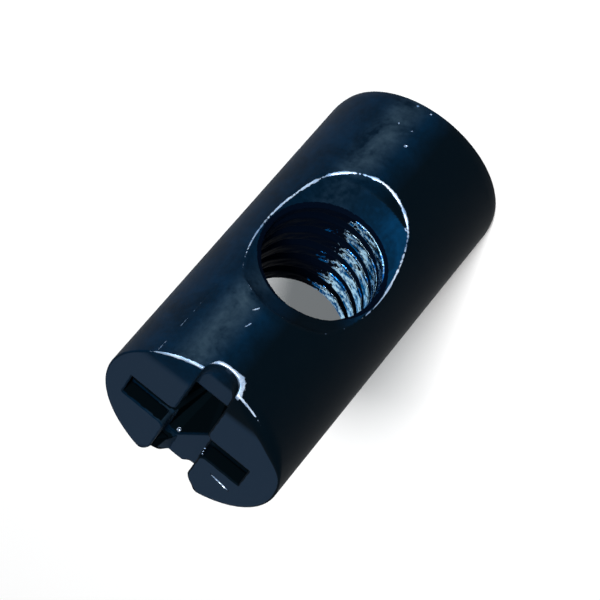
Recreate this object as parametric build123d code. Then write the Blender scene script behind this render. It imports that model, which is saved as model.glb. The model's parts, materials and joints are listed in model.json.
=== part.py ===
from build123d import *
from math import radians, tan
import os

# Barrel nut, standing on its plain end, in millimetres.
# +Z runs along the barrel to the driven end, and the bolt enters along +Y.

# Barrel, three eighths of an inch by three quarters
barrel_diameter = 9.525
barrel_length = 19.05
foot_bevel_width = 0.11
foot_bevel_height = 0.38

# Cross hole, bored to be tapped for a quarter inch, 20 turns to the inch thread
hole_height = 9.76
thread_minor_diameter = 5.75
mouth_diameter = 9.11
lip_depth = 0.64
lip_half_angle = 30.0
drill_point_angle = 118.0

# Drive, which stands a little off the barrel's axis and out of line with the hole
drive_shift_x = 0.25
drive_shift_y = 0.35
drive_turn = -4.5

# Arms that cross the slot
arm_span = 6.72
arm_width = 1.69

# Slot, whose two halves differ a little
front_slot_width = 1.85
front_slot_depth = 0.88
rear_slot_width = 2.11
rear_slot_depth = 1.07
land_corner_radius = 0.38

# Flare of the slot's rear half, on one side where it runs out of the barrel
flare_width = 0.26
flare_run = 0.70

# Tongue of metal left against one wall of the slot's rear half
tongue_drop = 0.36
tongue_flat = 0.10
tongue_foot = 0.68

# Deep recess below the slot and the arms, cut askew at its rear
front_wing_reach = 2.57
rear_wing_reach = 2.82
rear_wing_side = 0.36
recess_depth = 3.40
recess_bottom_span = 1.20
recess_bottom_width = 0.60

# Worked out from the sizes above
barrel_radius = barrel_diameter / 2
slot_side = front_slot_width / 2

# How far cutters run past the blank, and how near two places count as one
clear = 1.0
near = 0.01


def make_barrel():
    """Turned blank: a cylinder with its foot edge eased."""
    outline = Polyline(
        (0, 0),
        (barrel_radius - foot_bevel_width, 0),
        (barrel_radius, foot_bevel_height),
        (barrel_radius, barrel_length),
        (0, barrel_length),
        close=True,
    )
    section = Plane.XZ * make_face(outline)
    return revolve(section, Axis.Z)


def make_cross_hole():
    """Cutter for the through hole: at each end a steep lip, then the cone that the drill point leaves."""
    minor_radius = thread_minor_diameter / 2
    lip_slope = tan(radians(lip_half_angle))
    outer_radius = mouth_diameter / 2 + clear * lip_slope
    lip_foot_radius = mouth_diameter / 2 - lip_depth * lip_slope
    cone_depth = (lip_foot_radius - minor_radius) / tan(radians(drill_point_angle / 2))
    end_y = barrel_radius + clear
    lip_foot_y = barrel_radius - lip_depth
    cone_foot_y = lip_foot_y - cone_depth
    outline = Polyline(
        (0, -end_y),
        (outer_radius, -end_y),
        (lip_foot_radius, -lip_foot_y),
        (minor_radius, -cone_foot_y),
        (minor_radius, cone_foot_y),
        (lip_foot_radius, lip_foot_y),
        (outer_radius, end_y),
        (0, end_y),
        close=True,
    )
    cutter = revolve(make_face(outline), Axis.Y)
    return Pos(0, 0, hole_height) * cutter


def slot_run(width, side, start=0.0):
    """Plan of one half of the slot, from start out past the rim.

    side is -1 for the half towards the bolt and +1 for the half away from it. The wall on +X
    is the same for both halves, so a wider half reaches further to -X.
    """
    reach = barrel_radius + clear - start
    return Pos(slot_side - width / 2, side * (start + reach / 2)) * Rectangle(width, reach)


def slot_half(width, side):
    """Cutter for the arms and one half of the slot, with the two land corners rounded."""
    plan = Rectangle(arm_span, arm_width) + slot_run(width, side)
    corners = [
        v for v in plan.vertices()
        if abs(v.Y - side * arm_width / 2) < near and abs(v.X) < arm_span / 2 - near
    ]
    plan = fillet(corners, land_corner_radius)
    return sink(plan, front_slot_depth)


def sink(plan, depth):
    """Cutter that takes a plan down to a depth below the driven end."""
    return Pos(0, 0, barrel_length - depth) * extrude(plan, depth + clear)


def flare():
    """Plan of the wedge by which the slot's rear half widens towards the rim, on its -X side."""
    wall_x = slot_side - rear_slot_width
    end_y = barrel_radius + clear
    start_y = barrel_radius - drive_shift_y - flare_run
    spread = flare_width * (end_y - start_y) / flare_run
    return make_face(Polyline((wall_x, start_y), (wall_x - spread, end_y), (wall_x, end_y), close=True))


def wing(top_points, bottom_points, top_z):
    """One tapered bar of the deep recess, lofted from the slot's floor to the recess's bottom."""
    bottom_z = barrel_length - recess_depth
    top = Pos(0, 0, top_z) * make_face(Polyline(*top_points, close=True))
    bottom = Pos(0, 0, bottom_z) * make_face(Polyline(*bottom_points, close=True))
    return loft([bottom, top])


def box_points(half_x, half_y):
    """Corners of a rectangle about the drive's middle."""
    return [(-half_x, -half_y), (half_x, -half_y), (half_x, half_y), (-half_x, half_y)]


def skewed_points(half_x, front_y, rear_y, rear_x, skew_y):
    """Corners of the bar along the slot, whose rear -X corner is cut off from rear_x to skew_y."""
    return [(-half_x, -front_y), (half_x, -front_y), (half_x, rear_y), (rear_x, rear_y), (-half_x, skew_y)]


def make_recess():
    """Cutter for the deep recess: a bar across the slot and a skewed one along it."""
    floor_z = barrel_length - front_slot_depth
    half_span = recess_bottom_span / 2
    half_width = recess_bottom_width / 2
    shrink = half_span / rear_wing_reach
    across = wing(box_points(arm_span / 2, arm_width / 2), box_points(half_span, half_width), floor_z)
    along = wing(
        skewed_points(slot_side, front_wing_reach, rear_wing_reach, rear_wing_side, arm_width / 2),
        skewed_points(half_width, half_span, half_span, rear_wing_side * shrink, arm_width / 2 * shrink),
        floor_z,
    )
    return across + along


def make_drive():
    """Cutter for the whole drive: slot, arms and the deep recess where they cross."""
    front = slot_half(front_slot_width, -1)
    rear = slot_half(rear_slot_width, 1)
    rear_floor = sink(slot_run(rear_slot_width, 1, arm_width / 2) + flare(), rear_slot_depth)
    return place_drive(front + rear + rear_floor + make_recess())


def make_tongue(blank):
    """Tongue in the slot's rear half, from the deep recess to the rim, trimmed to the blank."""
    floor_z = barrel_length - rear_slot_depth
    shelf_z = barrel_length - tongue_drop
    outline = Polyline(
        (slot_side + clear, floor_z),
        (slot_side - tongue_foot, floor_z),
        (slot_side - tongue_flat, shelf_z),
        (slot_side + clear, shelf_z),
        close=True,
    )
    prism = extrude(Plane.XZ * make_face(outline), -(barrel_radius + clear))
    prism = Pos(0, rear_wing_reach, 0) * prism
    return place_drive(prism) & blank


def place_drive(shape):
    """Turn and shift a shape of the drive's own frame to its place on the barrel."""
    return Pos(drive_shift_x, drive_shift_y, 0) * (Rot(0, 0, drive_turn) * shape)


def make_nut():
    """The whole nut as one solid."""
    blank = make_barrel()
    return blank - make_drive() + make_tongue(blank) - make_cross_hole()


os.makedirs("parts", exist_ok=True)
nut = make_nut()
export_step(nut, "parts/barrel_nut.step")
print("barrel_nut", round(nut.volume, 2), "mm3", len(nut.solids()), "solid")
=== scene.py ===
import json
import logging
import math
from dataclasses import dataclass
from enum import Enum
from typing import Sequence

import bmesh
import bpy
import numpy as np
from mathutils import Matrix, Vector


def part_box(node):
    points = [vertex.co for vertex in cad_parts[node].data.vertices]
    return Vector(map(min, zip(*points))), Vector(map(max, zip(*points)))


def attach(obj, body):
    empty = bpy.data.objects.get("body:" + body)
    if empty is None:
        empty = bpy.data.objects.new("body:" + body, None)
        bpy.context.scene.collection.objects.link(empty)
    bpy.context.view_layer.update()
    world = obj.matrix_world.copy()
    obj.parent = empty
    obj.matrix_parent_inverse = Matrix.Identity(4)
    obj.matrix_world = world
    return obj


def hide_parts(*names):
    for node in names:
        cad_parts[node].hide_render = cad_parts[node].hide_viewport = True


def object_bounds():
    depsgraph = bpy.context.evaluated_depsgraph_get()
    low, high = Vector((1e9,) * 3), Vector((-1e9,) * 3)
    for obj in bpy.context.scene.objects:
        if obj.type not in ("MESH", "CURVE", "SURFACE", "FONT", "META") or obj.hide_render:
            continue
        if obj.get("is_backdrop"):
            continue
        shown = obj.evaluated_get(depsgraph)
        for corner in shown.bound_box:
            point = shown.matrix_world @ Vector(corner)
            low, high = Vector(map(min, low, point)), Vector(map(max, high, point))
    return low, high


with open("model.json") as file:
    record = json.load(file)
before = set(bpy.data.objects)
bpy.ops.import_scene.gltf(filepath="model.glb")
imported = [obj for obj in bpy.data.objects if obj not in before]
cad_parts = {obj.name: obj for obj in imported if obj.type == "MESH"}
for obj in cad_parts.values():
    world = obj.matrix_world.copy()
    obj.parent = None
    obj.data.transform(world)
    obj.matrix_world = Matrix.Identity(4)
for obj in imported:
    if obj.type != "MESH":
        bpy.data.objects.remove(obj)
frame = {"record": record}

# The dressed barrel nut. Its form is one signed distance field, in millimetres, with the same
# axes as the frame: the forms below each give a field, negative inside, and the nut combines
# them. The field is meshed once, so edges, thread, dents and slot are true geometry.

MM = 0.001
NODE = "barrel_nut"
PIECE = "barrel_nut_body"

# Grid spacing of the mesh, in millimetres, and the triangles that are kept of it
STEP = 0.06
TRIANGLES = 190000

# How far an eased edge stands back at its middle, as a share of the eased band
SET_BACK = 0.25

# Mean value of a noise texture
NOISE_MIDDLE = 0.5

LOG = logging.getLogger("barrel_nut")

Grid = np.ndarray
Span = tuple[float, float]
Point = tuple[float, float, float]
Colour = tuple[float, float, float]


def round_max(first: Grid, second: Grid, size: Grid | float) -> Grid:
    """Field of what lies inside both fields, with the edge between them eased over a band."""
    overlap = np.maximum(size - np.abs(first - second), 0.0)
    return np.maximum(first, second) + overlap * overlap * SET_BACK / size


def round_min(first: Grid, second: Grid, size: Grid | float) -> Grid:
    """Field of what lies inside either field, with the hollow corner between them filled."""
    return -round_max(-first, -second, size)


def smooth_step(value: Grid, low: float, high: float) -> Grid:
    """Rises smoothly from 0 at low to 1 at high, or falls where high is the smaller."""
    share = np.clip((value - low) / (high - low), 0.0, 1.0)
    return share * share * (3.0 - 2.0 * share)


@dataclass(frozen=True)
class Stretch:
    """A stretch of angles or places, over which something comes in to a size and goes again."""

    rise: Span
    fall: Span
    size: float = 1.0

    def at(self, value: Grid) -> Grid:
        """Size at each angle or place."""
        return self.size * (smooth_step(value, *self.rise) * smooth_step(value, *self.fall))


@dataclass(frozen=True)
class Ripple:
    """Seeded waviness, as a sum of plane waves in every direction.

    Each wave's number is that of the wavelength, in millimetres, times a share drawn from the
    spread. The sum's root mean square is the height.
    """

    seed: int
    wavelength: float
    waves: int = 9
    spread: Span = (0.6, 1.5)
    height: float = 0.6

    def field(self, x: Grid, y: Grid, z: Grid) -> Grid:
        """Gives the waviness, mostly between -1 and 1, at each place."""
        draw = np.random.default_rng(self.seed)
        total = 0.0
        for _ in range(self.waves):
            direction = draw.normal(size=3)
            number = 2.0 * math.pi / self.wavelength * draw.uniform(*self.spread)
            kx, ky, kz = (direction / np.linalg.norm(direction) * number).astype(np.float32)
            phase = np.float32(draw.uniform(0.0, 2.0 * math.pi))
            total = total + np.sin(kx * x + ky * y + kz * z + phase)
        return total * np.float32(math.sqrt(2.0 / self.waves) * self.height)


@dataclass(frozen=True)
class Barrel:
    """The turned blank, with its foot edge eased.

    Stamping the slot has pushed the driven end's edge over where the slot runs out in front,
    so that end rolls off there from roll_start to the rim, by roll_drop in all. To the slot's
    -X side the edge is struck over, and its easing wider, over some azimuths.
    """

    radius: float
    length: float
    foot_bevel_width: float = 0.11
    foot_bevel_height: float = 0.38
    edge: float = 0.09
    roll_start: float = 2.6
    roll_drop: float = 0.30
    struck_edge: Stretch = Stretch((-168.0, -140.0), (-100.0, -118.0), 0.50)

    def side(self, x: Grid, y: Grid) -> Grid:
        """Distance out of the barrel's wall."""
        return np.sqrt(x * x + y * y) - self.radius

    def azimuth(self, x: Grid, y: Grid) -> Grid:
        """Angle about the barrel's axis, in degrees from +X towards +Y."""
        return np.degrees(np.arctan2(y, x))

    def field(self, x: Grid, y: Grid, z: Grid) -> Grid:
        """The blank's field."""
        side = self.side(x, y)
        width, height = self.foot_bevel_width, self.foot_bevel_height
        slant = math.hypot(width, height)
        foot = (side + width) * (height / slant) - z * (width / slant)
        blank = round_max(side, foot, self.edge)
        blank = round_max(blank, -z, self.edge)
        return round_max(blank, self.head(y, z), self.edge + self.struck(x, y))

    def struck(self, x: Grid, y: Grid) -> Grid:
        """How much wider the driven end's edge is eased where it was struck over."""
        return self.struck_edge.at(self.azimuth(x, y))

    def head(self, y: Grid, z: Grid) -> Grid:
        """Distance out of the driven end."""
        share = np.maximum(-y - self.roll_start, 0.0) / (self.radius - self.roll_start)
        return z - self.length + self.roll_drop * share * share


@dataclass(frozen=True)
class CrossHole:
    """The drilled hole: a steep lip and a drill point's cone at each end, and a bore between."""

    height: float
    barrel_radius: float
    minor_radius: float
    mouth_radius: float = 4.555
    lip_depth: float = 0.64
    lip_half_angle: float = math.radians(30.0)
    point_half_angle: float = math.radians(59.0)
    lip_foot_fill: float = 0.06

    @property
    def lip_foot_radius(self) -> float:
        """Radius where the lip meets the cone."""
        return self.mouth_radius - self.lip_depth * math.tan(self.lip_half_angle)

    @property
    def lip_foot_reach(self) -> float:
        """Distance from the barrel's axis to where the lip meets the cone."""
        return self.barrel_radius - self.lip_depth

    @property
    def cone_foot_reach(self) -> float:
        """Distance from the barrel's axis to where the cone meets the bore."""
        rise = self.lip_foot_radius - self.minor_radius
        return self.lip_foot_reach - rise / math.tan(self.point_half_angle)

    def across(self, x: Grid, z: Grid) -> Grid:
        """Distance from the hole's own axis."""
        return np.sqrt(x * x + (z - self.height) ** 2)

    def turn(self, x: Grid, z: Grid) -> Grid:
        """Angle about the hole's axis, in radians from the driven end towards +X."""
        return np.arctan2(x, z - self.height)

    def lip_and_cone(self, x: Grid, y: Grid, z: Grid) -> tuple[Grid, Grid]:
        """Fields of the steep lips and of the flatter cones inside them."""
        reach = np.abs(y)
        across = self.across(x, z)
        lip = across - self.mouth_radius + (self.barrel_radius - reach) * math.tan(self.lip_half_angle)
        cone = across - self.minor_radius - (reach - self.cone_foot_reach) * math.tan(self.point_half_angle)
        return lip * math.cos(self.lip_half_angle), cone * math.cos(self.point_half_angle)

    def mouth(self, x: Grid, y: Grid, z: Grid) -> Grid:
        """Field of the two countersunk mouths, negative in the open."""
        return round_max(*self.lip_and_cone(x, y, z), self.lip_foot_fill)


@dataclass(frozen=True)
class Thread:
    """A quarter inch, 20 turns to the inch thread, right-handed, cut through the bore.

    A groove's middle crosses the side of the hole nearest the driven end at start. tear is how
    rough the tap left the crests, groove_tear the grooves' share of that, and tear_draw scales
    its grain along the turns.
    """

    hole: CrossHole
    pitch: float = 1.27
    major_radius: float = 3.175
    root_flat: float = 0.159
    start: float = -0.647
    flank_slope: float = math.tan(math.radians(60.0))
    crest_edge: float = 0.07
    tear: float = 0.026
    groove_tear: float = 0.4
    tear_draw: float = 0.45
    waves: tuple[Ripple, ...] = (Ripple(5, 0.62), Ripple(8, 0.30))

    def phase(self, x: Grid, y: Grid, z: Grid) -> Grid:
        """Distance along the hole from the nearest groove's middle, from minus to plus half a pitch."""
        turns = (y - self.start) / self.pitch - self.hole.turn(x, z) / (2.0 * math.pi)
        return (turns - np.round(turns)) * self.pitch

    def field(self, x: Grid, y: Grid, z: Grid) -> Grid:
        """Field of the threaded bore, negative in the open."""
        across = self.hole.across(x, z)
        phase = np.abs(self.phase(x, y, z))
        flank = across - self.major_radius - (self.root_flat / 2.0 - phase) * self.flank_slope
        flank = flank * (1.0 / math.hypot(1.0, self.flank_slope))
        groove = round_max(flank, across - self.major_radius, self.crest_edge)
        torn = self.torn(x, y, z) * self.tear
        crest = across - self.hole.minor_radius + torn
        return round_min(groove + self.groove_tear * torn, crest, self.crest_edge)

    def torn(self, x: Grid, y: Grid, z: Grid) -> Grid:
        """Roughness that the tap left, drawn out along its turns, mostly between -1 and 1."""
        turn = self.hole.turn(x, z)
        along = turn * np.float32(self.hole.minor_radius * self.tear_draw)
        axial = y - turn * np.float32(self.pitch / (2.0 * math.pi))
        return sum(wave.field(along, axial, 0.0) for wave in self.waves) / len(self.waves)


@dataclass(frozen=True)
class Drive:
    """The slot, the arms that cross it, and the deep tapered recess below them.

    Sizes are in the drive's own frame, where +X is along the arms and -Y is the slot's half
    towards the bolt. The flare is flare_width wide at flare_end, flare_run from its start. A
    span is where a form comes in. Shade is painted in the recess: the dark begins dark_depth
    below a face, takes in the walls by dark_past or dark_wall, and goes dark_room past the
    recess's bottom.
    """

    top: float
    shift_x: float = 0.25
    shift_y: float = 0.35
    turn: float = math.radians(-4.5)
    wall_x: float = 0.925
    front_wall_x: float = -0.925
    rear_wall_x: float = -1.185
    flare_end: float = 3.7125
    flare_width: float = 0.26
    flare_run: float = 0.70
    front_depth: float = 0.88
    rear_depth: float = 1.07
    arm_half_span: float = 3.36
    arm_half_width: float = 0.845
    land_corner: float = 0.42
    tongue_drop: float = 0.36
    tongue_foot_x: float = 0.245
    tongue_top_x: float = 0.825
    front_reach: float = 2.57
    rear_reach: float = 2.82
    rear_side_x: float = 0.36
    recess_depth: float = 3.40
    bottom_half_span: float = 0.60
    bottom_half_width: float = 0.30
    hollow: float = 0.10
    front_run_out: Span = (-3.3, -4.9)
    front_hollow: float = 0.80
    front_roll: float = 0.14
    rear_ease: float = 0.55
    ease_run: Span = (3.2, 4.1)
    ease_side: Span = (0.5, 0.9)
    # Where the recess's painted shade begins and ends
    dark_depth: float = 0.04
    dark_past: float = 0.03
    dark_wall: float = 0.02
    dark_room: float = 0.10

    def local(self, x: Grid, y: Grid) -> tuple[Grid, Grid]:
        """Takes a place on the barrel into the drive's own frame."""
        cos, sin = math.cos(self.turn), math.sin(self.turn)
        dx, dy = x - self.shift_x, y - self.shift_y
        return dx * cos + dy * sin, dy * cos - dx * sin

    def taper(self, across: Grid, z: Grid, top: float, bottom: float) -> Grid:
        """Distance out of a wall that slopes from the slot's floor to the recess's bottom.

        Args:
            across: Distance from the wing's middle.
            z: Height.
            top: The wall's distance from the middle at the slot's floor.
            bottom: The same at the recess's bottom.

        Returns:
            The wall's field.
        """
        rise = self.recess_depth - self.front_depth
        slant = math.hypot(rise, top - bottom)
        foot = self.top - self.recess_depth
        return ((across - bottom) * rise - (z - foot) * (top - bottom)) / slant

    def plan(self, u: Grid, v: Grid) -> Grid:
        """Field of the plan that the slot and the arms share."""
        arms = np.maximum(np.abs(u) - self.arm_half_span, np.abs(v) - self.arm_half_width)
        front = np.maximum(np.maximum(u - self.wall_x, self.front_wall_x - u), v)
        rear = np.maximum(np.maximum(u - self.wall_x, self.rear_wall_x - u), -v)
        return round_min(arms, np.minimum(front, rear), self.land_corner)

    def rear_plan(self, u: Grid, v: Grid) -> Grid:
        """Field of the plan of the slot's rear half, which flares on -X where it runs out."""
        flare = np.maximum(v - self.flare_end + self.flare_run, 0.0) * (self.flare_width / self.flare_run)
        walls = np.maximum(u - self.wall_x, self.rear_wall_x - flare - u)
        return np.maximum(walls, self.arm_half_width - v)

    def tongue(self, u: Grid, v: Grid, z: Grid) -> Grid:
        """Field of the tongue of metal left in the slot's rear half."""
        floor = self.top - self.rear_depth
        shelf = self.top - self.tongue_drop
        run, rise = self.tongue_top_x - self.tongue_foot_x, shelf - floor
        slope = ((z - floor) * run - (u - self.tongue_foot_x) * rise) / math.hypot(run, rise)
        return np.maximum(round_max(slope, z - shelf, self.hollow), self.rear_reach - v)

    def recess(self, u: Grid, v: Grid, z: Grid) -> Grid:
        """Field of the deep recess: a bar across the slot and one along it, cut askew at its rear."""
        span, width = self.bottom_half_span, self.bottom_half_width
        across = np.maximum(
            self.taper(np.abs(u), z, self.arm_half_span, span),
            self.taper(np.abs(v), z, self.arm_half_width, width),
        )
        run_u, run_v = self.rear_side_x + self.wall_x, self.rear_reach - self.arm_half_width
        length = math.hypot(run_u, run_v)
        off_line = (v * run_u - u * run_v) / length
        line_top = (self.rear_reach * run_u - self.rear_side_x * run_v) / length
        along = self.taper(np.abs(u), z, self.wall_x, width)
        along = np.maximum(along, self.taper(-v, z, self.front_reach, span))
        along = np.maximum(along, self.taper(v, z, self.rear_reach, span))
        along = np.maximum(along, self.taper(off_line, z, line_top, line_top * span / self.rear_reach))
        foot = self.top - self.recess_depth - z
        return round_max(round_min(across, along, self.hollow), foot, self.hollow)

    def field(self, x: Grid, y: Grid, z: Grid) -> Grid:
        """Field of the whole drive, negative in the open."""
        u, v = self.local(x, y)
        run_out = smooth_step(v, *self.front_run_out)
        floor = self.top - self.front_depth - self.front_roll * run_out * run_out - z
        hollow = self.hollow + self.front_hollow * run_out
        upper = round_max(self.plan(u, v), floor, hollow)
        lower = round_max(self.rear_plan(u, v), self.top - self.rear_depth - z, self.hollow)
        slot = np.maximum(np.minimum(upper, lower), -self.tongue(u, v, z))
        cap = z - self.top + self.front_depth - self.hollow
        return round_min(slot, np.maximum(self.recess(u, v, z), cap), self.hollow)

    def ease(self, x: Grid, y: Grid) -> Grid:
        """How much wider the edge's easing is at the corners where the slot's rear half runs out."""
        u, v = self.local(x, y)
        return self.rear_ease * smooth_step(v, *self.ease_run) * smooth_step(np.abs(u), *self.ease_side)

    def hidden(self, x: Grid, y: Grid, z: Grid) -> Grid:
        """Says which places lie in the deep recess, the arms or on the tongue, where shade is painted dark.
        """
        u, v = self.local(x, y)
        down, past = self.top - z, self.dark_past
        arms = (np.abs(u) < self.arm_half_span + past) & (np.abs(v) < self.arm_half_width + past)
        front = (down > self.front_depth + self.dark_depth) & (v < self.arm_half_width)
        front = front & (v > -self.front_reach - past)
        rear = down > self.rear_depth + self.dark_depth
        shelf = (down < self.rear_depth - self.dark_room) & (v > self.rear_reach - self.dark_room)
        shelf = shelf & (u > self.tongue_foot_x) & (u < self.wall_x + self.dark_wall)
        within = (down > self.dark_depth) & (down < self.recess_depth + self.dark_room)
        return within & (arms | front | rear | shelf)


@dataclass(frozen=True)
class Nick:
    """A knock or scratch: a short groove along the surface.

    Its ends are on the surface, outward points out of the metal there, width and depth are
    those at its middle, and bare is 1 where it is down to clean metal.
    """

    start: Point
    end: Point
    outward: Point
    width: float
    depth: float
    bare: float = 1.0

    @property
    def radius(self) -> float:
        """Radius of the round tool that would cut it."""
        return (self.width * self.width / 4.0 + self.depth * self.depth) / (2.0 * self.depth)

    def field(self, x: Grid, y: Grid, z: Grid) -> Grid:
        """Field of the cutter, negative where it cuts."""
        low, high = sorted((self.start[2], self.end[2]))
        if np.min(z) > high + self.width or np.max(z) < low - self.width:
            return np.full(np.broadcast(x, y, z).shape, self.width, np.float32)
        lift = (self.radius - self.depth) * np.array(self.outward)
        first, run = np.array(self.start) + lift, np.array(self.end) - np.array(self.start)
        dx, dy, dz = x - first[0], y - first[1], z - first[2]
        share = np.clip((dx * run[0] + dy * run[1] + dz * run[2]) / float(run @ run), 0.0, 1.0)
        gap = np.sqrt((dx - share * run[0]) ** 2 + (dy - share * run[1]) ** 2 + (dz - share * run[2]) ** 2)
        rise = self.depth * (2.0 * share - 1.0) ** 2
        return gap - self.radius + rise


def side_nick(radius: float, first: Span, last: Span, width: float, depth: float, bare: float = 1.0) -> Nick:
    """Makes a nick on the barrel's wall.

    Args:
        radius: The barrel's radius.
        first: Azimuth in degrees and height in millimetres of one end.
        last: The same of the other end.
        width: Its width.
        depth: Its depth.
        bare: How bare it is.

    Returns:
        The nick.
    """
    ends = []
    for azimuth, height in (first, last):
        angle = math.radians(azimuth)
        ends.append((radius * math.cos(angle), radius * math.sin(angle), height))
    middle = math.radians((first[0] + last[0]) / 2.0)
    return Nick(*ends, (math.cos(middle), math.sin(middle), 0.0), width, depth, bare)


@dataclass(frozen=True)
class Burr:
    """A fleck of metal left standing on the surface, as a small ball."""

    middle: Point
    radius: float

    def field(self, x: Grid, y: Grid, z: Grid) -> Grid:
        """Field of the fleck, negative inside it."""
        at_x, at_y, at_z = self.middle
        return np.sqrt((x - at_x) ** 2 + (y - at_y) ** 2 + (z - at_z) ** 2) - self.radius


@dataclass(frozen=True)
class NutForm:
    """The whole nut as one field.

    far_mouth_edge is added to the mouths' easing towards the plain end, over far_span below the
    hole's axis, and dent_share is how much of the easing is the dents' waviness.
    """

    barrel: Barrel
    hole: CrossHole
    thread: Thread
    drive: Drive
    nicks: tuple[Nick, ...]
    burrs: tuple[Burr, ...]
    drive_edge: float = 0.08
    mouth_edge: float = 0.12
    far_mouth_edge: float = 0.10
    far_span: Span = (1.0, 3.5)
    dents: Ripple = Ripple(3, 0.9)
    dent_share: float = 0.3
    burr_foot: float = 0.03

    def field(self, x: Grid, y: Grid, z: Grid) -> Grid:
        """The nut's field, negative in the metal."""
        opening = np.minimum(self.hole.mouth(x, y, z), self.thread.field(x, y, z))
        edge = self.drive_edge + self.drive.ease(x, y)
        body = round_max(self.barrel.field(x, y, z), -self.drive.field(x, y, z), edge)
        far = smooth_step(self.hole.height - z, *self.far_span)
        ease = self.mouth_edge + self.far_mouth_edge * far
        ease = ease * (1.0 + self.dent_share * self.dents.field(x, y, z))
        metal = round_max(body, -opening, ease)
        for nick in self.nicks:
            metal = np.maximum(metal, -nick.field(x, y, z))
        for burr in self.burrs:
            metal = round_min(metal, burr.field(x, y, z), self.burr_foot)
        return metal

    def slope(self, points: Grid) -> Grid:
        """Gradient of the field at each point.

        Args:
            points: One row of x, y and z for each point.

        Returns:
            One row of the three slopes for each point.
        """
        reach = 0.004
        slopes = []
        for step in np.eye(3) * reach:
            ahead = self.field(*(points + step).T)
            behind = self.field(*(points - step).T)
            slopes.append((ahead - behind) / (2.0 * reach))
        return np.stack(slopes, axis=1)

    def settle(self, points: Grid) -> Grid:
        """Moves points onto the field's surface, in a few short steps.

        Args:
            points: One row for each point, already near the surface.

        Returns:
            The points on the surface.
        """
        rounds, limit, least_square, least_length = 4, 0.03, 0.05, 1e-9
        for _ in range(rounds):
            slope = self.slope(points)
            square = np.maximum((slope * slope).sum(axis=1), least_square)
            move = slope * (self.field(*points.T) / square)[:, None]
            length = np.linalg.norm(move, axis=1, keepdims=True)
            points = points - move * np.minimum(1.0, limit / np.maximum(length, least_length))
        return points


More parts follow.
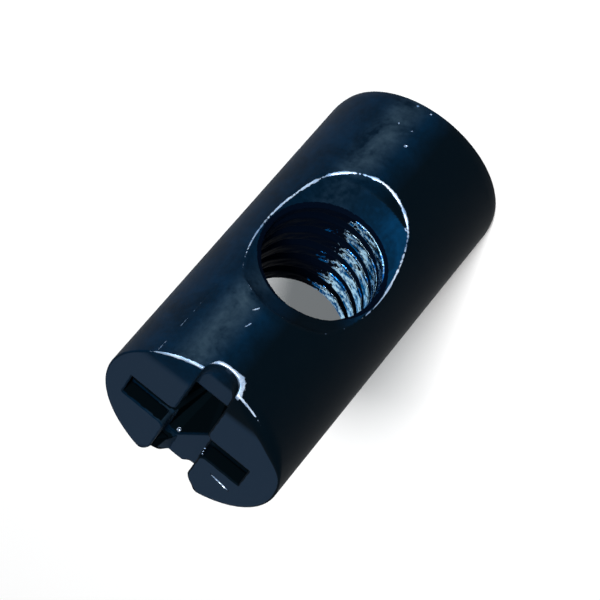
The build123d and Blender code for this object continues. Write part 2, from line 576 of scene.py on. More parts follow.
@dataclass(frozen=True)
class Wear:
    """Where the coating is gone, as shares that rise through 0 at a bare patch's border.

    The shares fall off without limit, so that they blend truly across the mesh's larger faces.
    A width is that of the bare band along an edge, or how far bare metal reaches, and none the
    least that counts. ring_widths are those at ring_turns, angles about the hole's axis. The
    band at the slot's front fades out over slot_fade and widens by slot_gain over slot_more,
    both along X. The thread's crests are bare over the angles where the bolt has borne on them,
    which are counted down from turn_wrap.
    """

    form: NutForm
    ring_turns: tuple[float, ...] = (-180, -155, -140, -97, -60, -30, 0, 35, 60, 95, 146, 180)
    ring_widths: tuple[float, ...] = (
        0.105, 0.095, 0.075, 0.065, 0.030, 0.030, 0.010, 0.038, 0.048, 0.065, 0.095, 0.105,
    )
    back_ring_width: float = 0.04
    none: float = 0.003
    lip_foot_width: Stretch = Stretch((-180.0, -165.0), (-112.0, -128.0), 0.018)
    lip_foot_bare: float = 0.72
    rim_width: float = 0.10
    rim_right: Stretch = Stretch((-90.0, -84.0), (-34.0, -70.0))
    rim_left: Stretch = Stretch((-140.0, -103.0), (-90.0, -96.0), 0.7)
    slot_width: float = 0.12
    slot_fade: Span = (0.85, 0.35)
    slot_more: Span = (-0.5, -0.9)
    slot_gain: float = 0.8
    corner_width: float = 0.016
    corner_fade: Span = (2.2, 1.2)
    nick_width: float = 0.02
    burr_width: float = 0.04
    borne: Stretch = Stretch((-228.0, -160.0), (-60.0, -85.0), 3.1)
    turn_wrap: float = 90.0
    unborne: float = 2.1
    less_borne: Span = (-125.0, -105.0)
    less_share: float = 0.45
    torn_share: float = 0.8
    crest_depth: float = 0.08
    crest_fall: float = 8.0

    def turn(self, x: Grid, z: Grid) -> Grid:
        """Angle about the hole's axis, in degrees from the driven end towards +X."""
        return np.degrees(self.form.hole.turn(x, z))

    def share(self, gap: Grid, width: Grid | float) -> Grid:
        """Turns a distance from an edge and a worn width into a share of wear."""
        return 1.0 - gap / np.maximum(width, self.none)

    def edge_gap(self, first: Grid, second: Grid) -> Grid:
        """Distance along the surface from the middle of the edge between two forms."""
        return np.abs(first - second) + np.minimum(np.abs(first), np.abs(second))

    def mouth(self, x: Grid, y: Grid, z: Grid) -> Grid:
        """Wear round the hole's mouths."""
        gap = self.edge_gap(self.form.barrel.side(x, y), -self.form.hole.mouth(x, y, z))
        width = np.interp(self.turn(x, z), self.ring_turns, self.ring_widths)
        return self.share(gap, np.where(y < 0.0, width, self.back_ring_width))

    def lip_foot(self, x: Grid, y: Grid, z: Grid) -> Grid:
        """Wear on the line between the front mouth's lip and its cone."""
        gap = self.edge_gap(*self.form.hole.lip_and_cone(x, y, z))
        width = self.lip_foot_width.at(self.turn(x, z)) * (y < 0.0)
        return self.share(gap, width) + self.lip_foot_bare - 1.0

    def rim(self, x: Grid, y: Grid, z: Grid) -> Grid:
        """Wear on the driven end's front rim, on both sides of the slot."""
        barrel = self.form.barrel
        gap = self.edge_gap(barrel.side(x, y), barrel.head(y, z)) - barrel.struck(x, y) * SET_BACK
        azimuth = barrel.azimuth(x, y)
        return self.share(gap, self.rim_width * (self.rim_right.at(azimuth) + self.rim_left.at(azimuth)))

    def slot(self, x: Grid, y: Grid, z: Grid) -> Grid:
        """Wear where the slot runs out through the barrel's wall."""
        gap = self.edge_gap(self.form.barrel.side(x, y), -self.form.drive.field(x, y, z))
        worn = smooth_step(x, *self.slot_fade) * (1.0 + self.slot_gain * smooth_step(x, *self.slot_more))
        return self.share(gap, np.where(y < 0.0, self.slot_width * worn, self.corner_width))

    def corners(self, x: Grid, y: Grid, z: Grid) -> Grid:
        """Wear along the drive's corners on the driven end, which fades towards the slot's rear."""
        gap = self.edge_gap(self.form.barrel.head(y, z), -self.form.drive.field(x, y, z))
        return self.share(gap, self.corner_width * smooth_step(y, *self.corner_fade))

    def marks(self, x: Grid, y: Grid, z: Grid) -> Grid:
        """Wear in the knocks and scratches and on the burrs."""
        shares = []
        for nick in self.form.nicks:
            shares.append(self.share(np.abs(nick.field(x, y, z)), self.nick_width) + nick.bare - 1.0)
        for burr in self.form.burrs:
            shares.append(self.share(np.abs(burr.field(x, y, z)), self.burr_width))
        return np.max(shares, axis=0)

    def outside(self, x: Grid, y: Grid, z: Grid) -> Grid:
        """All the wear outside the bore."""
        parts = [self.mouth, self.lip_foot, self.rim, self.slot, self.corners, self.marks]
        return np.max([part(x, y, z) for part in parts], axis=0)

    def thread(self, x: Grid, y: Grid, z: Grid) -> Grid:
        """Wear on the thread: its crests are bare where the bolt has borne on them."""
        thread, bore = self.form.thread, self.form.hole.minor_radius
        depth = (self.form.hole.across(x, z) - bore) / (thread.major_radius - bore)
        turn = self.turn(x, z)
        turn = np.where(turn > self.turn_wrap, turn - 360.0, turn)
        borne = self.borne.at(turn) * (1.0 - self.less_share * smooth_step(turn, *self.less_borne))
        below = self.crest_fall * np.maximum(depth - self.crest_depth, 0.0)
        return borne - self.unborne + self.torn_share * thread.torn(x, y, z) - below


@dataclass(frozen=True)
class Mesher:
    """Meshes a field by surface nets on a regular grid.

    The grid reaches margin steps past the barrel, and is worked out some layers at a time.
    """

    form: NutForm
    step: float
    triangles: int
    margin: float = 2.5
    layers: int = 40

    def axes(self) -> list[Grid]:
        """Grid lines along x, y and z, a little past the barrel on each side."""
        margin = self.margin * self.step
        radius, length = self.form.barrel.radius, self.form.barrel.length
        spans = [(-radius, radius), (-radius, radius), (0.0, length)]
        return [np.arange(low - margin, high + margin, self.step, dtype=np.float32) for low, high in spans]

    def sample(self, lines: Sequence[Grid]) -> Grid:
        """Evaluates the field on the grid, a few layers at a time."""
        x, y = lines[0][:, None, None], lines[1][None, :, None]
        slabs = []
        for first in range(0, len(lines[2]), self.layers):
            z = lines[2][None, None, first:first + self.layers]
            slabs.append(self.form.field(x, y, z).astype(np.float32))
        return np.concatenate(slabs, axis=2)

    def net(self, values: Grid, lines: Sequence[Grid]) -> tuple[Grid, Grid]:
        """Finds one vertex in each cell that the surface crosses and the quads between them.

        Args:
            values: The field on the grid.
            lines: The grid's lines.

        Returns:
            Vertex positions, and four vertex numbers for each quad.
        """
        inside = values < 0.0
        shape = tuple(n - 1 for n in values.shape)
        count = np.zeros(shape, np.int8)
        corners = [(i, j, k) for i in (0, 1) for j in (0, 1) for k in (0, 1)]
        for i, j, k in corners:
            count += inside[i:i + shape[0], j:j + shape[1], k:k + shape[2]]
        cells = np.stack(np.nonzero((count > 0) & (count < len(corners))), axis=1)
        number = np.full(shape, -1, np.int32)
        number[tuple(cells.T)] = np.arange(len(cells), dtype=np.int32)
        total = np.zeros((len(cells), 3))
        crossings = np.zeros(len(cells))
        edges = [(start, axis) for start in corners for axis in range(3) if not start[axis]]
        for start, axis in edges:
            end = list(start)
            end[axis] = 1
            low = values[tuple((cells + start).T)].astype(float)
            high = values[tuple((cells + end).T)].astype(float)
            crossed = (low < 0.0) != (high < 0.0)
            place = np.tile(np.array(start, float), (len(cells), 1))
            place[:, axis] = np.where(crossed, low / np.where(crossed, low - high, 1.0), 0.0)
            total += place * crossed[:, None]
            crossings += crossed
        origin = np.array([line[0] for line in lines], float)
        points = origin + (cells + total / crossings[:, None]) * self.step
        return points, self.quads(inside, number)

    def quads(self, inside: Grid, number: Grid) -> Grid:
        """Joins the four cells round each grid edge that crosses the surface."""
        faces = []
        for axis in range(3):
            first, second = [a for a in range(3) if a != axis]
            near = [slice(1, -1)] * 3
            far = [slice(1, -1)] * 3
            near[axis] = slice(0, -1)
            far[axis] = slice(1, None)
            changed = inside[tuple(near)] != inside[tuple(far)]
            place = np.stack(np.nonzero(changed), axis=1)
            place[:, [first, second]] += 1
            forward = inside[tuple(place.T)] != (axis == 1)
            ring = []
            for a, b in ((-1, -1), (0, -1), (0, 0), (-1, 0)):
                cell = place.copy()
                cell[:, first] += a
                cell[:, second] += b
                ring.append(number[tuple(cell.T)])
            quad = np.stack(ring, axis=1)
            quad[~forward] = quad[~forward][:, ::-1]
            faces.append(quad)
        return np.concatenate(faces)

    def build(self, name: str) -> bpy.types.Mesh:
        """Meshes the form, thins the mesh and settles it on the surface.

        Args:
            name: The mesh's name.

        Returns:
            A closed mesh in metres.
        """
        lines = self.axes()
        points, faces = self.net(self.sample(lines), lines)
        dense = mesh_from(name + "_dense", points * MM, faces)
        holder = place_in_scene(dense.name, dense)
        thin = holder.modifiers.new("thin", "DECIMATE")
        thin.ratio = min(1.0, self.triangles / (2.0 * len(faces)))
        graph = bpy.context.evaluated_depsgraph_get()
        mesh = bpy.data.meshes.new_from_object(holder.evaluated_get(graph))
        mesh.name = name
        bpy.data.objects.remove(holder)
        bpy.data.meshes.remove(dense)
        settled = self.form.settle(vertex_places(mesh) / MM) * MM
        low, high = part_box(NODE)
        settled = np.clip(settled, np.array(low), np.array(high))
        mesh.vertices.foreach_set("co", settled.astype(np.float32).ravel())
        mesh.update()
        return mesh


def mesh_from(name: str, points: Grid, faces: Grid) -> bpy.types.Mesh:
    """Makes a mesh of equal-sided faces.

    Args:
        name: The mesh's name.
        points: One row for each vertex.
        faces: One row of vertex numbers for each face.

    Returns:
        The mesh.
    """
    mesh = bpy.data.meshes.new(name)
    sides = faces.shape[1]
    mesh.vertices.add(len(points))
    mesh.vertices.foreach_set("co", points.astype(np.float32).ravel())
    mesh.loops.add(faces.size)
    mesh.loops.foreach_set("vertex_index", faces.astype(np.int32).ravel())
    mesh.polygons.add(len(faces))
    mesh.polygons.foreach_set("loop_start", np.arange(0, faces.size, sides, dtype=np.int32))
    mesh.update(calc_edges=True)
    mesh.validate()
    return mesh


def vertex_places(mesh: bpy.types.Mesh) -> Grid:
    """Reads a mesh's vertices, one row for each."""
    flat = np.empty(len(mesh.vertices) * 3, np.float32)
    mesh.vertices.foreach_get("co", flat)
    return flat.reshape(-1, 3).astype(float)


def place_in_scene(name: str, data: bpy.types.ID) -> bpy.types.Object:
    """Makes an object of a mesh, a lamp or a camera and puts it in the scene."""
    item = bpy.data.objects.new(name, data)
    bpy.context.scene.collection.objects.link(item)
    return item


@dataclass(frozen=True)
class PhotoCamera:
    """The camera, fitted to the object's outline and edges, in millimetres and as three axes."""

    place: Point = (-12.4425, -103.8031, 75.5855)
    right: Point = (-0.799473, -0.249035, -0.546649)
    down: Point = (-0.592111, 0.480057, 0.647263)
    focal_length: float = 158.566
    sensor_width: float = 36.0
    nearest: float = 0.01

    def build(self) -> bpy.types.Object:
        """Makes the scene's camera."""
        data = bpy.data.cameras.new("camera")
        data.lens = self.focal_length
        data.sensor_width = self.sensor_width
        data.clip_start = self.nearest
        camera = place_in_scene("camera", data)
        right = Vector(self.right).normalized()
        up = -Vector(self.down).normalized()
        turn = Matrix((right, up, right.cross(up))).transposed().to_4x4()
        camera.matrix_world = Matrix.Translation(Vector(self.place) * MM) @ turn
        bpy.context.scene.camera = camera
        return camera


@dataclass(frozen=True)
class Softbox:
    """An area lamp that faces the nut, with its angles in degrees and its sizes in metres.

    azimuth turns from +X towards +Y, and a radiance of 1 is a white surface's brightness.
    """

    name: str
    azimuth: float
    elevation: float
    distance: float
    width: float
    height: float
    radiance: float
    tint: Colour = (1.0, 1.0, 1.0)

    def build(self, aim: Vector) -> bpy.types.Object:
        """Makes the lamp, facing a point."""
        data = bpy.data.lights.new(self.name, "AREA")
        data.shape = "RECTANGLE"
        data.size = self.width
        data.size_y = self.height
        data.energy = self.radiance * math.pi * self.width * self.height
        data.color = self.tint
        lamp = place_in_scene(self.name, data)
        azimuth, elevation = math.radians(self.azimuth), math.radians(self.elevation)
        level = math.cos(elevation)
        away = Vector((math.cos(azimuth) * level, math.sin(azimuth) * level, math.sin(elevation)))
        turn = away.to_track_quat("Z", "Y").to_matrix().to_4x4()
        lamp.matrix_world = Matrix.Translation(aim + away * self.distance) @ turn
        lamp.visible_camera = False
        return lamp


LAMPS = (
    Softbox("key", azimuth=-91.0, elevation=46.0, distance=0.90, width=0.20, height=0.20, radiance=92.0),
    Softbox(
        "window", azimuth=-42.0, elevation=6.0, distance=0.07, width=0.035, height=0.03, radiance=4.0,
        tint=(0.45, 0.8, 1.0),
    ),
)


class Wiring:
    """Adds nodes and links to one node tree."""

    def __init__(self, tree: bpy.types.NodeTree) -> None:
        """Starts on a tree."""
        self.tree = tree

    def add(self, kind: str, **sockets: object) -> bpy.types.Node:
        """Adds a node and sets or links its inputs.

        Args:
            kind: The node's type.
            **sockets: An input's name, with spaces as underscores, and its value or source.

        Returns:
            The node.
        """
        return self.feed_all(self.tree.nodes.new(kind), **sockets)

    def feed_all(self, node: bpy.types.Node, **sockets: object) -> bpy.types.Node:
        """Sets or links a node's inputs, which are named as in add, and gives the node."""
        for name, value in sockets.items():
            self.feed(node.inputs[name.replace("_", " ")], value)
        return node

    def feed(self, socket: bpy.types.NodeSocket, value: object) -> None:
        """Links a socket to a source, or sets its value."""
        if isinstance(value, bpy.types.NodeSocket):
            self.tree.links.new(value, socket)
        else:
            socket.default_value = value

    def group(self, tree: bpy.types.NodeTree, **sockets: object) -> bpy.types.NodeOutputs:
        """Adds a node group, sets or links its inputs and gives its outputs."""
        node = self.add("ShaderNodeGroup")
        node.node_tree = tree
        return self.feed_all(node, **sockets).outputs

    def mix_colour(self, share: object, first: object, second: object) -> bpy.types.NodeSocket:
        """Mixes two colours, each given as three numbers or a source, and gives the result."""
        node = self.add("ShaderNodeMix")
        node.data_type = "RGBA"
        self.feed(node.inputs[0], share)
        for socket, colour in ((node.inputs[6], first), (node.inputs[7], second)):
            self.feed(socket, colour if isinstance(colour, bpy.types.NodeSocket) else (*colour, 1.0))
        return node.outputs[2]

    def attribute(self, name: str) -> bpy.types.NodeSocket:
        """Adds a node that reads one of the mesh's attributes and gives its value."""
        node = self.add("ShaderNodeAttribute")
        node.attribute_name = name
        return node.outputs["Fac"]

    def math(self, operation: str, *values: object) -> bpy.types.NodeSocket:
        """Adds a Math node and gives its result."""
        node = self.add("ShaderNodeMath")
        node.operation = operation
        for socket, value in zip(node.inputs, values):
            self.feed(socket, value)
        return node.outputs[0]

    def noise(self, scale: object, **sockets: object) -> bpy.types.NodeSocket:
        """Adds noise over the object's own coordinates and gives its value."""
        place = self.add("ShaderNodeTexCoord").outputs["Object"]
        return self.add("ShaderNodeTexNoise", Vector=place, Scale=scale, **sockets).outputs["Fac"]

    def ramp(self, value: object, low: object, high: object, **more: object) -> bpy.types.Node:
        """Adds a node that rises with a value from 0 at low to 1 at high."""
        return self.add("ShaderNodeMapRange", Value=value, From_Min=low, From_Max=high, **more)

    def seen(self) -> bpy.types.NodeSocket:
        """Adds a source that is 1 for what is seen, straight, mirrored or through glass, else 0."""
        path = self.add("ShaderNodeLightPath").outputs
        straight = self.math("MAXIMUM", path["Is Camera Ray"], path["Is Glossy Ray"])
        return self.math("MAXIMUM", straight, path["Is Transmission Ray"])


@dataclass(frozen=True)
class PaleFloor:
    """A plain pale floor that keeps the nut's shadow."""

    colour: Colour = (0.95, 0.95, 0.95)
    lift: float = 0.06
    half_size: float = 0.7
    segments: int = 8
    drop: float = 0.00001

    def material(self) -> bpy.types.Material:
        """Makes the floor's material."""
        paper = bpy.data.materials.new("pale_floor")
        paper.use_nodes = True
        wiring = Wiring(paper.node_tree)
        paper.node_tree.nodes.clear()
        diffuse = wiring.add("ShaderNodeBsdfDiffuse", Color=(*self.colour, 1.0))
        glow = wiring.add("ShaderNodeEmission", Strength=wiring.math("MULTIPLY", wiring.seen(), self.lift))
        both = wiring.add("ShaderNodeAddShader")
        wiring.feed(both.inputs[0], diffuse.outputs[0])
        wiring.feed(both.inputs[1], glow.outputs[0])
        wiring.add("ShaderNodeOutputMaterial", Surface=both.outputs[0])
        return paper

    def build(self, height: float) -> bpy.types.Object:
        """Makes the floor at a height, in metres."""
        shape = bmesh.new()
        bmesh.ops.create_grid(shape, x_segments=self.segments, y_segments=self.segments, size=self.half_size)
        mesh = bpy.data.meshes.new("floor")
        shape.to_mesh(mesh)
        shape.free()
        mesh.transform(Matrix.Translation((0.0, 0.0, height - self.drop)))
        mesh.materials.append(self.material())
        floor = place_in_scene("floor", mesh)
        floor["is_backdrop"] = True
        return floor


@dataclass(frozen=True)
class Daylight:
    """The room's own light: faint on the nut, white where it is seen or mirrored."""

    ambient: float = 0.12

    def build(self) -> None:
        """Makes the world."""
        world = bpy.data.worlds.new("daylight")
        world.use_nodes = True
        wiring = Wiring(world.node_tree)
        world.node_tree.nodes.clear()
        strength = wiring.math("MULTIPLY_ADD", wiring.seen(), 1.0 - self.ambient, self.ambient)
        sky = wiring.add("ShaderNodeBackground", Strength=strength)
        wiring.add("ShaderNodeOutputWorld", Surface=sky.outputs[0])
        bpy.context.scene.world = world


class Group(Wiring):
    """A shader node group whose inputs and outputs are plain numbers."""

    def __init__(self, name: str, inputs: dict[str, float], outputs: Sequence[str]) -> None:
        """Starts the group.

        Args:
            name: The group's name.
            inputs: Each input's name and default.
            outputs: Each output's name.
        """
        super().__init__(bpy.data.node_groups.new(name, "ShaderNodeTree"))
        for label, default in inputs.items():
            socket = self.tree.interface.new_socket(label, in_out="INPUT", socket_type="NodeSocketFloat")
            socket.default_value = default
        for label in outputs:
            self.tree.interface.new_socket(label, in_out="OUTPUT", socket_type="NodeSocketFloat")
        self.given = self.add("NodeGroupInput").outputs

    def per_mm(self, name: str) -> bpy.types.NodeSocket:
        """Turns an input in turns to the millimetre into a noise scale."""
        return self.math("DIVIDE", self.given[name], MM)

    def close(self, **outputs: object) -> bpy.types.NodeTree:
        """Links the group's outputs and gives the group."""
        self.add("NodeGroupOutput", **outputs)
        return self.tree


def worn_edge_group() -> bpy.types.NodeTree:
    """Makes the group that turns a share of wear into a ragged mask of bare metal."""
    group = Group("worn_edge", {"Wear": -1.0, "Ragged": 0.5, "Grain": 6.0, "Sharpness": 4.0}, ["Mask"])
    given = group.given
    swing = group.math("SUBTRACT", group.noise(group.per_mm("Grain"), Detail=3.0), NOISE_MIDDLE)
    shifted = group.math("MULTIPLY_ADD", swing, given["Ragged"], given["Wear"])
    mask = group.add("ShaderNodeClamp", Value=group.math("MULTIPLY", shifted, given["Sharpness"]))
    return group.close(Mask=mask.outputs[0])


def blueing_group() -> bpy.types.NodeTree:
    """Makes the group that says where bare metal has kept a film of blue, in streaks and specks."""
    inputs = {"Streak": 0.0, "Streak Share": 0.22, "Grain": 5.0, "Low": 0.35, "High": 0.75}
    group = Group("blueing", inputs, ["Amount"])
    given = group.given
    specks = group.noise(group.per_mm("Grain"), Detail=4.0, Roughness=0.7)
    level = group.math("MULTIPLY_ADD", given["Streak"], given["Streak Share"], specks)
    return group.close(Amount=group.ramp(level, given["Low"], given["High"]).outputs[0])


def smudge_group() -> bpy.types.NodeTree:
    """Makes the group that gives cloudy patches, where fingers and oil have dulled the coating, which also
    break up the painted sheen and the painted bluer side.
    """
    inputs = {"Scale": 0.45, "Fine Ratio": 9.0, "Low": 0.36, "High": 0.80, "Streak": 0.3}
    group = Group("smudges_and_sheen", inputs, ["Amount", "Fine"])
    given = group.given
    scale = group.per_mm("Scale")
    cloud = group.noise(scale, Detail=6.0, Roughness=0.62, Distortion=0.8)
    fine = group.noise(group.math("MULTIPLY", scale, given["Fine Ratio"]), Detail=4.0)
    swing = group.math("SUBTRACT", fine, NOISE_MIDDLE)
    mixed = group.math("MULTIPLY_ADD", swing, given["Streak"], cloud)
    return group.close(Amount=group.ramp(mixed, given["Low"], given["High"]).outputs[0], Fine=fine)


def coat_shade_group() -> bpy.types.NodeTree:
    """Makes the group that says how the coating's colour changes over the nut.

    The +X side, which faces the window lamp, is painted bluer as painted light, and a painted sheen
    runs down it in a cloudy band. Flat faces that point up near the driven end get a painted reflection, a
    lighter grey blue.
    """
    inputs = {
        "Blue From": -0.9, "Blue To": 0.3, "Side Share": 0.21, "Band Middle": 1.45, "Band Reach": 1.25,
        "Cloud": 0.0, "Cloud Gain": 1.3, "Cloud Base": 0.55, "Inner Blue": 0.0, "Stamped Above": 17.8,
        "Flat From": 0.9955, "Flat To": 0.9993,
    }
    group = Group("coat_shade", inputs, ["Blue", "Sheen", "Stamped"])
    given = group.given
    place = group.add("ShaderNodeTexCoord").outputs["Object"]
    place = group.add("ShaderNodeSeparateXYZ", Vector=place).outputs
    # Painted light: the +X side, towards the window lamp, is painted bluer, and the front cone's share is
    # added
    across = group.math("DIVIDE", place["X"], MM)
    side = group.ramp(across, given["Blue From"], given["Blue To"], To_Max=given["Side Share"])
    blue = group.math("MAXIMUM", side.outputs[0], given["Inner Blue"])
    mottle = group.math("MULTIPLY_ADD", given["Cloud"], given["Cloud Gain"], given["Cloud Base"])
    # Painted sheen: a band down the +X side, on faces that stand upright, broken up by the clouds
    off_band = group.math("ABSOLUTE", group.math("SUBTRACT", across, given["Band Middle"]))
    band = group.ramp(off_band, given["Band Reach"], 0.0)
    band.interpolation_type = "SMOOTHSTEP"
    normal = group.add("ShaderNodeNewGeometry").outputs["Normal"]
    up = group.add("ShaderNodeSeparateXYZ", Vector=normal).outputs["Z"]
    upright = group.math("SUBTRACT", 1.0, group.math("ABSOLUTE", up))
    sheen = group.math("MULTIPLY", group.math("MULTIPLY", band.outputs[0], upright), given["Cloud"])
    # Painted reflection: flat faces that point up near the driven end are painted lighter
    flat = group.ramp(up, given["Flat From"], given["Flat To"])
    high = group.math("GREATER_THAN", place["Z"], group.math("MULTIPLY", given["Stamped Above"], MM))
    painted_flat_reflection = group.math("MULTIPLY", flat.outputs[0], high)
    return group.close(Blue=group.math("MULTIPLY", blue, mottle), Sheen=sheen, Stamped=painted_flat_reflection)


class Zone(Enum):
    """The finishes that the nut has, in the order of their material slots, the last being painted shade in
    the drive's recess.
    """

    OUTSIDE = "coated_steel"
    BORE = "tapped_steel"
    # Painted shade: near black with no mirror light, in the drive's deep places
    RECESS = "stamped_steel"

    @property
    def index(self) -> int:
        """The zone's material slot."""
        return list(Zone).index(self)


@dataclass(frozen=True)
class Finish:
    """Glossy blue black coating over steel, with the steel bare where it is worn.

    The coating's own colour is base. blue is painted light, the bluer tone of the +X side and of
    the front cone's parts that face the window lamp; sheen is a painted sheen down that side; and
    painted_flat_reflection is a painted reflection on the flat faces near the driven end that
    point up. Bare steel is blued where a film of blue is left, between two noise levels. wear
    names the attribute that says where the coating is worn, tint colours its mirror light, and
    smudge is the most coat weight of a smudge. ragged is how much a bare patch's border wanders,
    with grain turns to the millimetre, and bump the height of the bare metal's grain in
    millimetres.
    """

    base: Colour = (0.0004, 0.0022, 0.0042)
    # Painted light: the colour of the bluer +X side and of the front cone's parts that face the window lamp
    blue: Colour = (0.0008, 0.0260, 0.0720)
    # Painted sheen down the +X side
    sheen: Colour = (0.0240, 0.0420, 0.0580)
    # Painted reflection on the flat faces that point up near the driven end
    painted_flat_reflection: Colour = (0.0085, 0.0185, 0.0350)
    bare: Colour = (0.50, 0.60, 0.74)
    blued: Colour = (0.16, 0.25, 0.40)
    wear: str = "wear"
    tint: Colour = (0.4, 0.7, 1.0)
    specular: float = 0.02
    roughness: float = 0.55
    bare_roughness: float = 0.38
    coat_roughness: float = 0.5
    smudge: float = 0.01
    film: Span = (0.32, 0.66)
    ragged: float = 1.1
    grain: float = 5.0
    bump: float = 0.004


def even_coat(colour: Colour) -> dict[str, Colour]:
    """Colours of a coating that is the same all over."""
    return {"base": colour, "blue": colour, "sheen": colour}


FINISHES = {
    Zone.OUTSIDE: Finish(),
    Zone.BORE: Finish(
        **even_coat((0.0006, 0.002, 0.006)),
        bare=(0.56, 0.84, 1.00),
        blued=(0.004, 0.055, 0.18),
        film=(0.40, 0.60),
        wear="thread_wear",
        specular=0.003,
        roughness=0.40,
        smudge=0.0,
        ragged=2.4,
        grain=6.0,
        bare_roughness=0.24,
        bump=0.04,
    ),
    # Painted shade in the deep recess, the arms and the tongue's top: near black, with no mirror light
    Zone.RECESS: Finish(**even_coat((0.0010, 0.0028, 0.0042)), specular=0.0, roughness=0.6, smudge=0.0),
}


class Palette:
    """The nut's materials, with the node groups that they share."""

    def __init__(self) -> None:
        """Makes the shared groups."""
        self.worn_edge = worn_edge_group()
        self.blueing = blueing_group()
        self.smudges_and_sheen = smudge_group()
        self.coat_shade = coat_shade_group()

    def material(self, zone: Zone) -> bpy.types.Material:
        """Makes one zone's material."""
        finish = FINISHES[zone]
        steel = bpy.data.materials.new(zone.value)
        steel.use_nodes = True
        shader = steel.node_tree.nodes["Principled BSDF"]
        wiring = Wiring(steel.node_tree)
        worn = wiring.attribute(finish.wear)
        bare = wiring.group(self.worn_edge, Wear=worn, Ragged=finish.ragged, Grain=finish.grain)["Mask"]
        smudge = wiring.group(self.smudges_and_sheen)
        cone_painted_light = wiring.attribute("cone_painted_light")
        shade = wiring.group(self.coat_shade, Cloud=smudge["Amount"], Inner_Blue=cone_painted_light)
        # Painted light mixed into the coating: the bluer side and cone, the painted sheen and the painted
        # reflection on flat faces
        coating = wiring.mix_colour(shade["Blue"], finish.base, finish.blue)
        coating = wiring.mix_colour(shade["Sheen"], coating, finish.sheen)
        coating = wiring.mix_colour(shade["Stamped"], coating, finish.painted_flat_reflection)
        low, high = finish.film
        streak = wiring.attribute("streak")
        film = wiring.group(self.blueing, Streak=streak, Grain=finish.grain, Low=low, High=high)
        metal = wiring.mix_colour(film["Amount"], finish.bare, finish.blued)
        change = finish.bare_roughness - finish.roughness
        weight = wiring.math("MULTIPLY", smudge["Amount"], finish.smudge)
        height = wiring.math("MULTIPLY", smudge["Fine"], bare)
        wiring.feed_all(
            shader,
            Base_Color=wiring.mix_colour(bare, coating, metal),
            Metallic=bare,
            Roughness=wiring.math("MULTIPLY_ADD", bare, change, finish.roughness),
            Coat_Weight=wiring.math("MULTIPLY", weight, wiring.math("SUBTRACT", 1.0, bare)),
            Normal=wiring.add("ShaderNodeBump", Height=height, Distance=finish.bump * MM).outputs["Normal"],
            Specular_IOR_Level=finish.specular,
            Specular_Tint=(*finish.tint, 1.0),
            Coat_Roughness=finish.coat_roughness,
        )
        return steel


@dataclass(frozen=True)
class BarrelNut:
    """The nut itself: its form, its mesh and its finish.

    A room is how far past the thread, up the cone or up the lip a finish still goes, and sunk
    or drive_sunk how far inside the barrel's wall it starts. The cone's blue, painted light on
    the front cone's parts that face the window lamp, is given about the hole's axis, in degrees.
    """

    form: NutForm
    bore_room: float = 0.05
    cone_room: float = 0.15
    # Painted light: the front cone's parts that face the window lamp are painted bluer over these turns
    cone_blue: Stretch = Stretch((135.0, 225.0), (320.0, 270.0), 0.62)
    sunk: float = 0.05
    lip_room: float = 0.03
    drive_sunk: float = 0.03

    def build(self) -> bpy.types.Object:
        """Builds the nut, dresses it and puts it in its node's place."""
        mesh = Mesher(self.form, STEP, TRIANGLES).build(PIECE)
        mesh.polygons.foreach_set("use_smooth", np.ones(len(mesh.polygons), bool))
        places = vertex_places(mesh) / MM
        slope = self.form.slope(places)
        normals = slope / np.linalg.norm(slope, axis=1, keepdims=True)
        mesh.normals_split_custom_set_from_vertices(normals.tolist())
        self.dress(mesh, *places.T)
        nut = place_in_scene(PIECE, mesh)
        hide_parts(NODE)
        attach(nut, "root")
        return nut

    def cone_painted_light(self, x: Grid, y: Grid, z: Grid) -> Grid:
        """Share of painted light on the front mouth's cone, whose -X and lower parts, which face the window
        lamp, are painted bluer.
        """
        barrel, hole = self.form.barrel, self.form.hole
        blue = self.cone_blue.at(np.degrees(hole.turn(x, z)) % 360.0)
        inside = (barrel.side(x, y) < -self.sunk) & (y > -hole.lip_foot_reach) & (y < 0.0)
        inside = inside & (hole.across(x, z) < hole.lip_foot_radius + self.lip_room)
        return np.where(inside & (z < barrel.length - self.form.drive.recess_depth), blue, 0.0)

    def zones(self, x: Grid, y: Grid, z: Grid) -> Grid:
        """Material slot at each place."""
        hole = self.form.hole
        in_bore = hole.across(x, z) < self.form.thread.major_radius + self.bore_room
        in_bore = in_bore & (np.abs(y) < hole.cone_foot_reach + self.cone_room)
        # The drive's deep places get the painted shade
        in_drive = (self.form.barrel.side(x, y) < -self.drive_sunk) & self.form.drive.hidden(x, y, z)
        return np.where(in_bore, Zone.BORE.index, np.where(in_drive, Zone.RECESS.index, Zone.OUTSIDE.index))

    def dress(self, mesh: bpy.types.Mesh, x: Grid, y: Grid, z: Grid) -> None:
        """Gives the mesh its materials and the attributes that they read.

        Args:
            mesh: The mesh.
            x: Its vertices' places along X, in millimetres.
            y: The same along Y.
            z: The same along Z.
        """
        palette = Palette()
        for zone in Zone:
            mesh.materials.append(palette.material(zone))
        wear = Wear(self.form)
        layers = {
            "wear": wear.outside(x, y, z),
            "thread_wear": wear.thread(x, y, z),
            "streak": self.form.thread.torn(x, y, z),
            # Share of painted light on the front cone
            "cone_painted_light": self.cone_painted_light(x, y, z),
        }
        for name, values in layers.items():
            layer = mesh.attributes.new(name, "FLOAT", "POINT")
            layer.data.foreach_set("value", values.astype(np.float32))
        corner = np.empty(len(mesh.loops), np.int32)
        mesh.loops.foreach_get("vertex_index", corner)
        start = np.empty(len(mesh.polygons), np.int32)
        mesh.polygons.foreach_get("loop_start", start)
        zones = self.zones(x, y, z)
        thirds = np.stack([zones[corner[start + i]] for i in range(3)])
        mesh.polygons.foreach_set("material_index", thirds.min(axis=0).astype(np.int32))


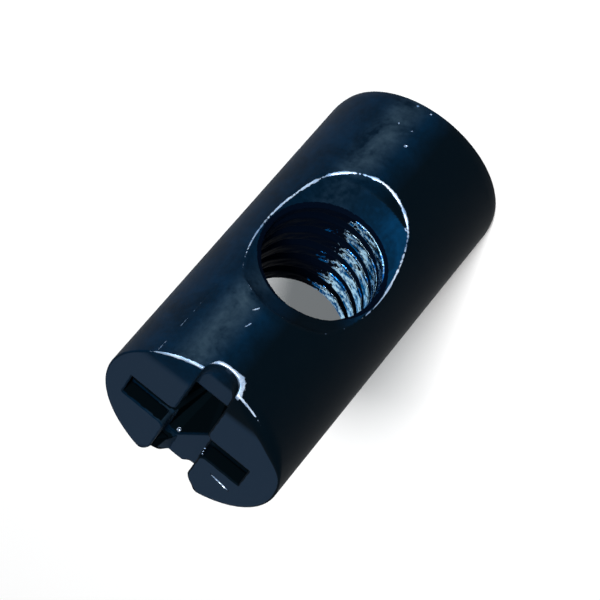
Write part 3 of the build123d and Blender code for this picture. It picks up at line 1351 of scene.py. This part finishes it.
def find_nicks(radius: float, length: float) -> tuple[Nick, ...]:
    """Lists the knocks and scratches that the nut has.

    Args:
        radius: The barrel's radius.
        length: The barrel's length.

    Returns:
        The nicks.
    """
    up = (0.0, 0.0, 1.0)
    return (
        Nick((-1.72, 2.18, length), (-2.79, 2.47, length), up, width=0.11, depth=0.05),
        side_nick(radius, (-85.3, 2.79), (-86.4, 2.66), width=0.10, depth=0.04),
        side_nick(radius, (-82.6, 1.84), (-83.0, 1.76), width=0.07, depth=0.03),
        side_nick(radius, (-74.0, 1.82), (-73.7, 1.70), width=0.05, depth=0.02),
        side_nick(radius, (-80.2, 14.90), (-82.6, 14.58), width=0.07, depth=0.02, bare=0.60),
        side_nick(radius, (-83.0, 15.85), (-84.4, 15.50), width=0.05, depth=0.01, bare=0.35),
        side_nick(radius, (-74.6, 0.30), (-76.8, 0.28), width=0.12, depth=0.06),
        side_nick(radius, (-84.2, 0.34), (-86.0, 0.32), width=0.10, depth=0.06),
        side_nick(radius, (-51.3, 18.95), (-52.6, 16.66), width=0.035, depth=0.006, bare=0.25),
        side_nick(radius, (-52.6, 16.66), (-51.8, 13.65), width=0.030, depth=0.004, bare=0.0),
    )


# Bright flecks in the recess, and the burrs on one land's corner
BURRS = (
    Burr((0.78, 2.84, 17.82), radius=0.08),
    Burr((0.52, 2.78, 17.76), radius=0.05),
    Burr((-0.85, 1.27, 18.64), radius=0.06),
    Burr((-0.88, 1.28, 18.80), radius=0.05),
    Burr((-0.92, 1.29, 18.93), radius=0.05),
)


def nut_form() -> NutForm:
    """Makes the nut's form, with its main sizes from the frame."""
    low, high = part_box(NODE)
    radius = (high.x - low.x) / 2.0 / MM
    length = (high.z - low.z) / MM
    mounts = {m["name"]: m for m in frame["record"]["mounts"]}
    thread = mounts["thread"]
    hole = CrossHole(thread["pos_m"][2] / MM, radius, minor_radius=thread["dims"]["r_mm"])
    return NutForm(
        barrel=Barrel(radius, length),
        hole=hole,
        thread=Thread(hole),
        drive=Drive(top=length),
        nicks=find_nicks(radius, length),
        burrs=BURRS,
    )


def main() -> None:
    """Builds the nut, the floor, the light and the camera."""
    logging.basicConfig(level=logging.INFO, format="%(message)s")
    cad_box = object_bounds()
    bpy.context.scene.view_settings.view_transform = "Standard"
    middle = (cad_box[0] + cad_box[1]) / 2.0
    nut = BarrelNut(nut_form()).build()
    LOG.info("%s: %d vertices, %d faces", nut.name, len(nut.data.vertices), len(nut.data.polygons))
    PaleFloor().build(cad_box[0].z)
    Daylight().build()
    for lamp in LAMPS:
        lamp.build(middle)
    PhotoCamera().build()


if __name__ == "__main__":
    main()
